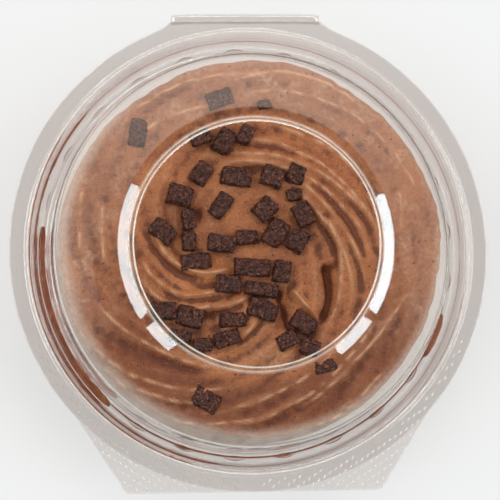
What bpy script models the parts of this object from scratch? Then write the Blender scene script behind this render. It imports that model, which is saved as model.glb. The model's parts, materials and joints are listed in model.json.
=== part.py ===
"""A round clear hinged cup, filled with swirled chocolate mousse and dark chocolate pieces.

The tub stands on the XY plane with its centre on the Z axis. The hinge is at the back (+Y)
and the two grip tabs are at the front (-Y). Lengths are in millimetres until MM turns them
into metres.
"""

import math
import random

import bmesh
import bpy
from mathutils import Matrix, Vector

MM = 0.001

# The cup, which is one sheet of plastic in the real thing: tub, fold and lid.
WALL = 0.6
FLANGE_RADIUS = 60.0
FLANGE_TOP = 36.0
FLANGE_GAP = 0.3
BASE_RADIUS = 39.4
BASE_FILLET_WIDTH = 1.5
BASE_FILLET_HEIGHT = 0.9
FILL_TOP_RADIUS = 48.4
FILL_TOP_HEIGHT = 26.8
LUG_BAND_RADIUS = 51.4
LUG_BAND_LEAN = 0.3
LEDGE_HEIGHT = 30.3
LEDGE_RADIUS = 53.9
LEDGE_FALL = 0.2
SEAL_TOP_RADIUS = 55.2
COLUMNS = 50
LUGS = 25
LUG_DEPTH = 0.9
LUG_HEIGHT = 29.1
LUG_BAND_DEPTH = 1.2
FIRST_COLUMN = math.radians(6.0)

# The lid's channel, sloping dome and flat middle with its bevelled edge.
CHANNEL_HEIGHT = 31.9
DOME_RADIUS = 49.5
SHOULDER_TOP = 46.6
PLATEAU_RADIUS = 30.6
PLATEAU_TOP = 55.0
PLATEAU_RISE = 0.2
CHANNEL_OUTER_RADIUS = 52.4
CHANNEL_TOP_RADIUS = 54.0
DOME_DRAFT = 0.8
BEAD_RADIUS = 55.5
BEAD_HEIGHT = 0.8
BEAD_HALF_WIDTH = 1.0

# Corners and slopes of the lid, each point as how far out or in and how far down it is.
PLATEAU_EDGE = ((0.0, 0.0), (3.5, 1.5), (10.0, 4.9))
DOME_SHOULDER = ((3.2, 0.0), (1.5, 1.3), (0.4, 2.8), (-0.1, 4.8))

# Grip tabs: the flange's corners, one on the tub and one on the lid.
FRONT = math.radians(270.0)
TAB_SIDE_TURN = math.radians(57.5)
TAB_SIDE_DISTANCE = 59.0

# The fold that joins the two flanges.
HINGE_LINE_Y = 58.3
HINGE_AXIS_Y = 59.45
HINGE_WIDTH = 37.5
FOLD_RADIUS = 0.85
FOLD_SIDES = 16

# The mousse.
MOUSSE_GAP = 0.4
MOUSSE_COLUMNS = 60
MOUSSE_EDGE_RADIUS = 46.9
MOUSSE_EDGE_WAVE = 0.5
MOUSSE_SPREAD = 1.0
MOUSSE_SPREAD_ANGLE = math.radians(198.0)
MOUSSE_SPREAD_TURN = math.radians(35.0)
CENTRE_HEIGHT = 45.0
INNER_EDGE_HEIGHT = 44.2
RING_HEIGHT = 43.7
RING_START_RADIUS = 30.0
RING_FULL_RADIUS = 35.0
MOUSSE_RINGS = (0.0, 4.0, 8.5, 13.0, 17.5, 22.0, 26.5, 31.0, 35.0, 39.5, 43.5, 46.3)
MOUSSE_SHOULDER = 1.4
FREE_EDGE_FOOT = 2.0
MOUSSE_FOOT_CHAMFER = 0.8
FREE_EDGE_START = 41.0
FREE_EDGE_FULL = 46.0
EDGE_WAVES = ((5, 0.7, 0.6), (11, 0.0, 0.4))
RIDGES = 12
RIDGE_TWIST = math.radians(6.0)
RIDGE_SWAY = 0.75
RIDGE_SWAY_FROM = math.radians(70.0)
RIDGE_FULLNESS = 0.8
INNER_RIDGE = 0.9
RING_RIDGE = 0.5
CALM_RADIUS = 3.0
RIDGED_RADIUS = 13.0
UNDER_RING_RADIUS = 31.5
RING_TOP_LIMIT = 44.5

# The chocolate pieces: x, y, length, width and turn in degrees.
PIECE_THICKNESS = 3.2
PIECE_GAP = 0.3
PIECE_PROUD = 0.5
PIECE_ROUGHING = 0.12
PIECE_CORNERS_LOST = 2
CORNER_CUT = (0.5, 0.9)
PIECE_LEAN = math.radians(6.0)
PIECE_FIRST_SEED = 100
PIECES = (
    (-7.5, 37.5, 6.0, 4.0, 20),
    (-28.0, 29.0, 6.5, 4.0, 80),
    (3.5, 36.0, 3.0, 2.0, 10),
    (-12.5, 27.5, 5.0, 3.0, 20),
    (-7.0, 26.5, 5.5, 4.0, 60),
    (-1.5, 28.0, 4.5, 3.0, 65),
    (-12.5, 18.5, 5.0, 4.0, 55),
    (-4.0, 17.5, 7.0, 4.0, -10),
    (-18.0, 13.0, 6.0, 4.5, -15),
    (-8.0, 10.5, 6.0, 3.5, 55),
    (-16.0, 7.0, 4.5, 3.0, 100),
    (-16.0, 1.5, 4.0, 3.0, 85),
    (-22.5, 4.0, 6.0, 4.0, -40),
    (-14.5, -3.5, 7.0, 3.5, 5),
    (5.0, 17.5, 5.0, 4.5, -20),
    (11.0, 18.5, 5.0, 4.0, 70),
    (10.5, 13.0, 3.5, 2.5, 10),
    (3.0, 9.5, 5.0, 4.5, 45),
    (5.5, 3.5, 6.0, 4.5, 60),
    (12.5, 8.0, 5.5, 4.0, -65),
    (11.0, 1.5, 5.0, 4.0, 60),
    (-8.0, 1.0, 6.5, 4.0, -10),
    (-1.5, 2.5, 5.0, 3.0, 5),
    (-0.5, -5.0, 8.5, 4.0, -5),
    (7.0, -6.0, 5.0, 4.0, 80),
    (-6.5, -9.0, 6.0, 4.0, -5),
    (1.5, -10.5, 7.5, 3.0, -10),
    (2.0, -15.5, 7.0, 4.0, -20),
    (-22.5, -15.5, 5.5, 4.0, 0),
    (-16.0, -17.0, 6.0, 4.5, -15),
    (-5.5, -18.0, 6.0, 3.0, 0),
    (-18.5, -22.0, 5.0, 3.0, -10),
    (-13.0, -24.0, 4.5, 3.0, 0),
    (-7.0, -22.5, 6.0, 3.5, 15),
    (12.0, -19.0, 6.0, 4.0, -35),
    (8.0, -23.0, 5.0, 3.5, 30),
    (13.5, -25.0, 4.5, 3.5, -20),
    (17.5, -29.5, 5.0, 3.0, 10),
    (-12.5, -37.5, 6.5, 4.5, -30),
)

CLEAR_PLASTIC = ("clear_pet", (0.86, 0.85, 0.84), 0.08)
MOUSSE = ("chocolate_mousse", (0.36, 0.15, 0.07), 0.6)
CHOCOLATE = ("dark_chocolate", (0.045, 0.015, 0.012), 0.45)


def clear_scene():
    for item in list(bpy.data.objects):
        bpy.data.objects.remove(item, do_unlink=True)


def material(name, colour, roughness):
    found = bpy.data.materials.get(name)
    if found:
        return found
    made = bpy.data.materials.new(name)
    made.use_nodes = True
    surface = made.node_tree.nodes["Principled BSDF"]
    surface.inputs["Base Color"].default_value = (*colour, 1.0)
    surface.inputs["Roughness"].default_value = roughness
    surface.inputs["Metallic"].default_value = 0.0
    made.diffuse_color = (*colour, 1.0)
    return made


def add_object(name, mesh_builder, look):
    """A named object from a bmesh in millimetres. The bmesh is used up."""
    mesh_builder.transform(Matrix.Scale(MM, 4))
    mesh = bpy.data.meshes.new(name)
    mesh_builder.to_mesh(mesh)
    mesh_builder.free()
    mesh.materials.append(material(*look))
    mesh.shade_smooth()
    mesh.set_sharp_from_angle(angle=math.radians(35))
    item = bpy.data.objects.new(name, mesh)
    bpy.context.scene.collection.objects.link(item)
    return item


def smooth_step(low, high, value):
    share = min(max((value - low) / (high - low), 0.0), 1.0)
    return share * share * (3 - 2 * share)


def turned(profile, columns, first_angle, shape):
    """Spins (radius, height) points about Z. shape moves each point by its own rule."""
    mesh_builder = bmesh.new()
    points = [mesh_builder.verts.new((radius, 0.0, height)) for radius, height in profile]
    edges = [mesh_builder.edges.new(pair) for pair in zip(points, points[1:])]
    start = Matrix.Rotation(first_angle, 3, "Z")
    bmesh.ops.rotate(mesh_builder, verts=points, cent=(0, 0, 0), matrix=start)
    bmesh.ops.spin(
        mesh_builder,
        geom=points + edges,
        cent=(0, 0, 0),
        axis=(0, 0, 1),
        angle=math.tau,
        steps=columns,
        use_merge=True,
    )
    bmesh.ops.remove_doubles(mesh_builder, verts=mesh_builder.verts, dist=0.001)
    for point in mesh_builder.verts:
        radius = math.hypot(point.co.x, point.co.y)
        angle = math.atan2(point.co.y, point.co.x) % math.tau
        point.co = polar(*shape(radius, angle, point.co.z))
    return mesh_builder


def polar(radius, angle, height):
    return Vector((radius * math.cos(angle), radius * math.sin(angle), height))


def face_outwards(mesh_builder):
    bmesh.ops.recalc_face_normals(mesh_builder, faces=mesh_builder.faces)
    if mesh_builder.calc_volume(signed=True) < 0:
        bmesh.ops.reverse_faces(mesh_builder, faces=mesh_builder.faces)


def thicken(item):
    """Gives a sheet its wall, inwards from the side that its faces show."""
    shell = item.modifiers.new("wall", "SOLIDIFY")
    shell.thickness = WALL * MM
    shell.offset = -1.0
    shell.use_even_offset = True


def flange_outline(radius, angle, side):
    """The flange's edge: a circle with a corner tab on one side and a flat at the hinge."""
    if radius < FLANGE_RADIUS - 0.01:
        return radius, angle
    x_here = FLANGE_RADIUS * math.cos(angle)
    y_here = FLANGE_RADIUS * math.sin(angle)
    half_step = FLANGE_RADIUS * math.pi / COLUMNS
    if y_here > 0 and abs(x_here) < HINGE_WIDTH / 2 + half_step:
        if abs(x_here) > HINGE_WIDTH / 2 - half_step:
            x_here = math.copysign(HINGE_WIDTH / 2, x_here)
        return math.hypot(x_here, HINGE_LINE_Y), math.atan2(HINGE_LINE_Y, x_here)
    away = (angle - FRONT) * side
    if not 0.0 < away < TAB_SIDE_TURN:
        return radius, angle
    corner = tab_corner_turn()
    if abs(away - corner) < math.pi / COLUMNS:
        away = corner
        angle = FRONT + side * corner
    along_front = FLANGE_RADIUS / math.cos(away)
    along_side = TAB_SIDE_DISTANCE / math.cos(TAB_SIDE_TURN - away)
    return max(FLANGE_RADIUS, min(along_front, along_side)), angle


def tab_corner_turn():
    """How far round from the front the tab's corner is, where its two edges cross."""
    across = (TAB_SIDE_DISTANCE - FLANGE_RADIUS * math.cos(TAB_SIDE_TURN)) / math.sin(TAB_SIDE_TURN)
    return math.atan2(across, FLANGE_RADIUS)


def make_tub():
    flange_under = FLANGE_TOP - WALL
    profile = (
        (0.0, 0.0),
        (BASE_RADIUS, 0.0),
        (BASE_RADIUS + BASE_FILLET_WIDTH, BASE_FILLET_HEIGHT),
        (FILL_TOP_RADIUS, FILL_TOP_HEIGHT),
        (LUG_BAND_RADIUS - LUG_BAND_LEAN, LUG_HEIGHT - LUG_BAND_DEPTH),
        (LUG_BAND_RADIUS, LUG_HEIGHT),
        (LUG_BAND_RADIUS + LUG_BAND_LEAN, LEDGE_HEIGHT - LEDGE_FALL),
        (LEDGE_RADIUS, LEDGE_HEIGHT),
        (SEAL_TOP_RADIUS, flange_under),
        (FLANGE_RADIUS, flange_under),
    )
    lug_turn = math.tau / LUGS

    def shape(radius, angle, height):
        if abs(height - LUG_HEIGHT) < 0.01:
            off_centre = (angle - FIRST_COLUMN + lug_turn / 2) % lug_turn - lug_turn / 2
            radius += LUG_DEPTH * (abs(off_centre) < lug_turn / 4)
        radius, angle = flange_outline(radius, angle, -1)
        return radius, angle, height

    mesh_builder = turned(profile, COLUMNS, FIRST_COLUMN, shape)
    bmesh.ops.recalc_face_normals(mesh_builder, faces=mesh_builder.faces)
    face_side(mesh_builder, Vector((0, 0, -1)))
    thicken(add_object("tub", mesh_builder, CLEAR_PLASTIC))


def face_side(mesh_builder, direction):
    """Turns an open sheet so that its middle faces this way."""
    middle = min(mesh_builder.faces, key=lambda face: face.calc_center_median().xy.length)
    if middle.normal.dot(direction) < 0:
        bmesh.ops.reverse_faces(mesh_builder, faces=mesh_builder.faces)


def make_lid():
    flange_top = FLANGE_TOP + FLANGE_GAP + WALL
    profile = (
        (0.0, PLATEAU_TOP + PLATEAU_RISE),
        *((PLATEAU_RADIUS + out, PLATEAU_TOP - down) for out, down in PLATEAU_EDGE),
        *((DOME_RADIUS - into, SHOULDER_TOP - down) for into, down in DOME_SHOULDER),
        (DOME_RADIUS + DOME_DRAFT, CHANNEL_HEIGHT),
        (CHANNEL_OUTER_RADIUS, CHANNEL_HEIGHT),
        (CHANNEL_TOP_RADIUS, flange_top),
        (BEAD_RADIUS, flange_top + BEAD_HEIGHT),
        (BEAD_RADIUS + BEAD_HALF_WIDTH, flange_top),
        (FLANGE_RADIUS, flange_top),
    )

    def shape(radius, angle, height):
        radius, angle = flange_outline(radius, angle, 1)
        return radius, angle, height

    mesh_builder = turned(profile, COLUMNS, FIRST_COLUMN, shape)
    bmesh.ops.recalc_face_normals(mesh_builder, faces=mesh_builder.faces)
    face_side(mesh_builder, Vector((0, 0, 1)))
    pivot = bpy.data.objects.new("lid_pivot", None)
    bpy.context.scene.collection.objects.link(pivot)
    pivot.location = (0.0, HINGE_AXIS_Y * MM, hinge_height() * MM)
    bpy.context.view_layer.update()
    lid = add_object("lid", mesh_builder, CLEAR_PLASTIC)
    lid.parent = pivot
    lid.matrix_parent_inverse = pivot.matrix_world.inverted()
    thicken(lid)


def hinge_height():
    return FLANGE_TOP + FLANGE_GAP / 2


def make_hinge_fold():
    """The folded film between the flanges, as a rod on the axis that it bends about."""
    mesh_builder = bmesh.new()
    bmesh.ops.create_cone(
        mesh_builder,
        cap_ends=True,
        segments=FOLD_SIDES,
        radius1=FOLD_RADIUS,
        radius2=FOLD_RADIUS,
        depth=HINGE_WIDTH,
        matrix=Matrix.Rotation(math.pi / 2, 4, "Y"),
    )
    fold = add_object("hinge_fold", mesh_builder, CLEAR_PLASTIC)
    fold.location = (0.0, HINGE_AXIS_Y * MM, hinge_height() * MM)


def fill_radius(height):
    """The inside of the tub's sloping wall, less the gap to what fills it."""
    foot = BASE_RADIUS + BASE_FILLET_WIDTH
    share = (height - BASE_FILLET_HEIGHT) / (FILL_TOP_HEIGHT - BASE_FILLET_HEIGHT)
    return foot + share * (FILL_TOP_RADIUS - foot) - WALL - MOUSSE_GAP


def ridge_height(radius, angle):
    """The flutes of the swirl, which run inwards as they turn, less so at the back right."""
    sway = RIDGE_SWAY * math.sin(angle - RIDGE_SWAY_FROM)
    turn = RIDGES * (angle - sway + RIDGE_TWIST * radius)
    crest = abs(math.cos(turn / 2)) ** RIDGE_FULLNESS * 2 - 1
    outer_share = smooth_step(RING_START_RADIUS, RING_FULL_RADIUS, radius)
    high = INNER_RIDGE + (RING_RIDGE - INNER_RIDGE) * outer_share
    return crest * high * smooth_step(CALM_RADIUS, RIDGED_RADIUS, radius)


def mousse_height(radius, angle):
    """The top of the mousse: a low mound under the lid's raised middle, flatter around it."""
    out = min(radius / RING_START_RADIUS, 1.0)
    mound = CENTRE_HEIGHT + (INNER_EDGE_HEIGHT - CENTRE_HEIGHT) * out**2
    level = mound + (RING_HEIGHT - mound) * smooth_step(RING_START_RADIUS, RING_FULL_RADIUS, radius)
    return level + ridge_height(radius, angle)


def mousse_edge_shift(angle):
    """How far the free edge of the mousse wanders. It spreads furthest on the left."""
    waves = sum(share * math.sin(count * angle + phase) for count, phase, share in EDGE_WAVES)
    away = math.atan2(math.sin(angle - MOUSSE_SPREAD_ANGLE), math.cos(angle - MOUSSE_SPREAD_ANGLE))
    spread = MOUSSE_SPREAD * math.exp(-((away / MOUSSE_SPREAD_TURN) ** 2))
    return MOUSSE_EDGE_WAVE * waves + spread


def make_mousse():
    floor = WALL + MOUSSE_GAP
    top_rings = [(radius, RING_HEIGHT) for radius in MOUSSE_RINGS]
    under_top = [
        (MOUSSE_EDGE_RADIUS, RING_HEIGHT - MOUSSE_SHOULDER),
        (MOUSSE_EDGE_RADIUS, FILL_TOP_HEIGHT + FREE_EDGE_FOOT),
        (fill_radius(FILL_TOP_HEIGHT - MOUSSE_SHOULDER), FILL_TOP_HEIGHT - MOUSSE_SHOULDER),
        (fill_radius(floor) - MOUSSE_FOOT_CHAMFER, floor),
        (0.0, floor),
    ]

    def shape(radius, angle, height):
        turned_angle = angle - RIDGE_TWIST * min(radius, MOUSSE_EDGE_RADIUS)
        if abs(height - RING_HEIGHT) < 0.01:
            height = mousse_height(radius, turned_angle)
        if height > FILL_TOP_HEIGHT:
            free = smooth_step(FREE_EDGE_START, FREE_EDGE_FULL, radius)
            radius += mousse_edge_shift(turned_angle) * free
        return radius, turned_angle, height

    mesh_builder = turned(top_rings + under_top, MOUSSE_COLUMNS, 0.0, shape)
    face_outwards(mesh_builder)
    return add_object("mousse", mesh_builder, MOUSSE)


def pocket_mesh(length, width):
    """The plain box that a piece of chocolate leaves in the mousse, with the gap around it."""
    mesh_builder = bmesh.new()
    size = Vector((length, width, PIECE_THICKNESS)) + Vector((1, 1, 1)) * 2 * PIECE_GAP
    bmesh.ops.create_cube(mesh_builder, size=1.0, matrix=Matrix.Diagonal(size).to_4x4())
    return mesh_builder


def piece_mesh(length, width, seed):
    """A broken block of chocolate: a box with its corners moved in and two of them lost."""
    mesh_builder = bmesh.new()
    bmesh.ops.create_cube(mesh_builder, size=1.0)
    dice = random.Random(seed)
    half = Vector((length / 2, width / 2, PIECE_THICKNESS / 2))
    for point in mesh_builder.verts:
        shrink = [1.0 - PIECE_ROUGHING * dice.random() for _ in range(3)]
        point.co = Vector(
            2 * share * size * less for share, size, less in zip(point.co, half, shrink)
        )
    corners = sorted(mesh_builder.verts, key=lambda point: point.co.x * dice.uniform(-1, 1))
    spots = [corner.co.copy() for corner in corners[:PIECE_CORNERS_LOST]]
    for spot in spots:
        outwards = Vector([math.copysign(1.0, value) for value in spot]).normalized()
        cut = spot - outwards * dice.uniform(*CORNER_CUT)
        everything = list(mesh_builder.verts) + list(mesh_builder.edges) + list(mesh_builder.faces)
        bmesh.ops.bisect_plane(
            mesh_builder, geom=everything, plane_co=cut, plane_no=outwards, clear_outer=True
        )
        rim = [edge for edge in mesh_builder.edges if edge.is_boundary]
        bmesh.ops.holes_fill(mesh_builder, edges=rim)
    bmesh.ops.triangulate(mesh_builder, faces=mesh_builder.faces)
    face_outwards(mesh_builder)
    return mesh_builder


def make_pieces(mousse):
    """The pieces of chocolate, each pressed into a pocket of its own in the mousse."""
    pockets = bpy.data.collections.new("pockets")
    bpy.context.scene.collection.children.link(pockets)
    for number, (x, y, length, width, turn) in enumerate(PIECES, start=1):
        radius = math.hypot(x, y)
        dice = random.Random(PIECE_FIRST_SEED + number)
        height = mousse_height(radius, math.atan2(y, x)) + PIECE_PROUD
        lean = PIECE_LEAN
        if radius > UNDER_RING_RADIUS:
            height = RING_TOP_LIMIT - PIECE_THICKNESS / 2
            lean = 0.0
        place = (
            Matrix.Translation(Vector((x, y, height)) * MM)
            @ Matrix.Rotation(math.radians(turn), 4, "Z")
            @ Matrix.Rotation(dice.uniform(-lean, lean), 4, "X")
            @ Matrix.Rotation(dice.uniform(-lean, lean), 4, "Y")
        )
        piece = add_object(f"chocolate_{number:02d}", piece_mesh(length, width, number), CHOCOLATE)
        piece.matrix_world = place
        pocket = add_object(f"pocket_{number:02d}", pocket_mesh(length, width), MOUSSE)
        pocket.matrix_world = place
        pocket.hide_render = True
        pocket.display_type = "WIRE"
        bpy.context.scene.collection.objects.unlink(pocket)
        pockets.objects.link(pocket)
    cut = mousse.modifiers.new("pockets", "BOOLEAN")
    cut.operation = "DIFFERENCE"
    cut.operand_type = "COLLECTION"
    cut.collection = pockets
    cut.solver = "EXACT"


def main():
    clear_scene()
    make_tub()
    make_hinge_fold()
    make_lid()
    make_pieces(make_mousse())


main()
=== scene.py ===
"""Finish for a clear hinged cup of swirled chocolate mousse with dark chocolate pieces.

Shapes are worked out in millimetres about the cup's own axis and turned into metres as
each mesh is made. The tub, lid, hinge, mousse and chocolate take the places of the plain
solids of the same names, and the pips and smears are added to them; some thin lines among the smears are painted
refraction.
"""

import json
import math
import random

import bmesh
import bpy
import numpy as np
from mathutils import Matrix, Vector, noise


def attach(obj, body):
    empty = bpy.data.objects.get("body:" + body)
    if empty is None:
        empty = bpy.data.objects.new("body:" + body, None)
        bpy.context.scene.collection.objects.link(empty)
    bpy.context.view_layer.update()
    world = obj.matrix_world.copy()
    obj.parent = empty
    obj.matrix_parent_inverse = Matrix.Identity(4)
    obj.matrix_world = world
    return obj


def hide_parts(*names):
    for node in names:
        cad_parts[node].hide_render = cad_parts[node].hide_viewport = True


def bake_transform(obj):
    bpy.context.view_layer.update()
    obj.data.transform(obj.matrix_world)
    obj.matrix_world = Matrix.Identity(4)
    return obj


MM = 0.001
TURN = math.tau

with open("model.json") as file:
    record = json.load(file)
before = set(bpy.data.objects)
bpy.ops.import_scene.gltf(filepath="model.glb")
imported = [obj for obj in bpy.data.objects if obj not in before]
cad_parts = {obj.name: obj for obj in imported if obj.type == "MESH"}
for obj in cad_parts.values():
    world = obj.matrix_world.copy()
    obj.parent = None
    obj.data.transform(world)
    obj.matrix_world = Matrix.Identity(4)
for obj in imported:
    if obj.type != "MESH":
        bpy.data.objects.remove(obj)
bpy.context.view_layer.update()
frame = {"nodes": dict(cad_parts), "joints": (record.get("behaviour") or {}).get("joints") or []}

# Sizes of the pack, in millimetres: one sheet of plastic, formed into a tub and a lid.
WALL = 0.45
FLANGE_RADIUS = 60.0
TUB_FLANGE_UNDER = 35.4
LID_FLANGE_TOP = 36.9
FLANGE_START = 56.7
RIM = 0.15
HINGE_LINE = 58.3
HINGE_HALF = 18.75
HINGE_FILLET = 5.2
AXIS_Y = frame["joints"][0]["pos_m"][1] / MM
AXIS_Z = frame["joints"][0]["pos_m"][2] / MM
TAB_SIDE_TURN = math.radians(57.5)
TAB_SIDE_DISTANCE = 59.0
TAB_CORNER = 0.7
LUGS = 25
FIRST_LUG = 6.0
SHELL_COLUMNS = 400
COOL = "#e1f7ff"
LID_COLUMNS = 280

# The swirl: flutes that run inwards as they turn, closer together at the back right.
MOUSSE_TOP = 43.7
FLUTES = 12
TWIST = math.radians(6.0)
SWAY = 0.75
SWAY_FROM = math.radians(70.0)


def linear(code):
    """A colour code such as #a56b4a as linear red, green, blue and full alpha."""
    values = [int(code[i : i + 2], 16) / 255 for i in (1, 3, 5)]
    return (*[v / 12.92 if v <= 0.04045 else ((v + 0.055) / 1.055) ** 2.4 for v in values], 1.0)


def add(tree, kind, inputs=None, **settings):
    """A node with its settings, and its inputs set to values or linked from sockets."""
    made = tree.nodes.new(kind)
    for name, value in settings.items():
        setattr(made, name, value)
    for name, value in (inputs or {}).items():
        if isinstance(value, bpy.types.NodeSocket):
            tree.links.new(value, made.inputs[name])
        else:
            made.inputs[name].default_value = value
    return made


def calc(tree, operation, first, second=0.0, third=0.0, kind="ShaderNodeMath"):
    """The output of one sum on values or sockets."""
    return add(tree, kind, {0: first, 1: second, 2: third}, operation=operation).outputs[0]


def ramp(tree, value, *stops, kind="EASE"):
    """A colour ramp through (place, colour code) stops."""
    made = add(tree, "ShaderNodeValToRGB", {"Fac": value})
    made.color_ramp.interpolation = kind
    for place, _ in stops[2:]:
        made.color_ramp.elements.new(place)
    for element, (place, code) in zip(made.color_ramp.elements, stops):
        element.position = place
        element.color = linear(code)
    return made.outputs["Color"]


def between(tree, value, low, high, to_low=0.0, to_high=1.0):
    made = add(
        tree,
        "ShaderNodeMapRange",
        {"Value": value, "From Min": low, "From Max": high, "To Min": to_low, "To Max": to_high},
        interpolation_type="SMOOTHSTEP",
    )
    return made.outputs["Result"]


def mixed(tree, share, first, second, blend="MIX"):
    made = add(tree, "ShaderNodeMix", data_type="RGBA", blend_type=blend)
    for socket, value in zip((made.inputs[0], made.inputs[6], made.inputs[7]), (share, first, second)):
        if isinstance(value, bpy.types.NodeSocket):
            tree.links.new(value, socket)
        else:
            socket.default_value = value
    return made.outputs[2]


def noise_of(tree, place, scale, detail=3.0, roughness=0.55, distortion=0.0):
    made = add(
        tree,
        "ShaderNodeTexNoise",
        {
            "Vector": place,
            "Scale": scale,
            "Detail": detail,
            "Roughness": roughness,
            "Distortion": distortion,
        },
    )
    return made.outputs["Fac"]


def dots_of(tree, place, scale, randomness=1.0):
    """Distance from the middle of scattered cells, and each cell's own random colour."""
    made = add(
        tree,
        "ShaderNodeTexVoronoi",
        {"Vector": place, "Scale": scale, "Randomness": randomness},
    )
    return made.outputs["Distance"], made.outputs["Color"]


def start_material(name):
    made = bpy.data.materials.new(name)
    made.use_nodes = True
    tree = made.node_tree
    tree.nodes.clear()
    place = add(tree, "ShaderNodeTexCoord").outputs["Object"]
    return made, tree, place


def finish_material(tree, surface):
    add(tree, "ShaderNodeOutputMaterial", {"Surface": surface})


def bumped(tree, height, strength, distance):
    made = add(
        tree, "ShaderNodeBump", {"Height": height, "Strength": strength, "Distance": distance}
    )
    return made.outputs["Normal"]


def clear_sheet(name):
    """Thermoformed PET: clear and faintly grey, with glossy waves of drawn sheet. It bends the
    view only where the sheet is folded tightly, as flat and gently curved sheet doesn't."""
    made, tree, place = start_material(name)
    waves = noise_of(tree, place, 110.0, 2.0, 0.4)
    normal = bumped(tree, waves, 0.25, 0.0004)
    clear = add(tree, "ShaderNodeBsdfTransparent", {"Color": linear("#faf8f7")}).outputs[0]
    gloss = add(
        tree, "ShaderNodeBsdfGlossy", {"Color": (1, 1, 1, 1), "Roughness": 0.04, "Normal": normal}
    ).outputs[0]
    facing = add(tree, "ShaderNodeLayerWeight", {"Blend": 0.5, "Normal": normal}).outputs["Facing"]
    grazing = calc(tree, "MULTIPLY", calc(tree, "POWER", facing, 5.0), 0.95)
    flat = add(
        tree, "ShaderNodeMixShader", {0: calc(tree, "ADD", grazing, 0.05), 1: clear, 2: gloss}
    ).outputs[0]
    bent = add(
        tree,
        "ShaderNodeBsdfRefraction",
        {"Color": linear("#fbfaf9"), "Roughness": 0.0, "IOR": 1.57, "Normal": normal},
    ).outputs[0]
    mirror = add(tree, "ShaderNodeFresnel", {"IOR": 1.57, "Normal": normal}).outputs[0]
    folded = add(tree, "ShaderNodeMixShader", {0: mirror, 1: bent, 2: gloss}).outputs[0]
    bend = add(tree, "ShaderNodeAttribute", attribute_name="bend").outputs["Fac"]
    bend = calc(tree, "GREATER_THAN", bend, 0.5)
    surface = add(tree, "ShaderNodeMixShader", {0: bend, 1: flat, 2: folded}).outputs[0]
    # Painted reflection: where the per-point attribute read here is set, a flat warm white diffuse stands in for the
    # lamps mirrored in the lid's shoulder, for the bright lines along its fillets and for the light the grip pips
    # catch; noise breaks it into patches.
    painted_sheen = add(tree, "ShaderNodeAttribute", attribute_name="painted_sheen").outputs["Fac"]
    sheen_patches = between(tree, noise_of(tree, place, 320.0, 4.0), 0.2, 0.8, 0.55, 1.0)
    painted_sheen = calc(tree, "MULTIPLY", painted_sheen, sheen_patches)
    white = add(tree, "ShaderNodeBsdfDiffuse", {"Color": linear("#e8dccf")}).outputs[0]
    with_painted_sheen = add(tree, "ShaderNodeMixShader", {0: painted_sheen, 1: surface, 2: white}).outputs[0]
    path = add(tree, "ShaderNodeLightPath")
    unseen = calc(
        tree, "MAXIMUM", path.outputs["Is Shadow Ray"], path.outputs["Is Diffuse Ray"]
    )
    whole = add(tree, "ShaderNodeMixShader", {0: unseen, 1: with_painted_sheen, 2: clear}).outputs[0]
    finish_material(tree, whole)
    return made


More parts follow.
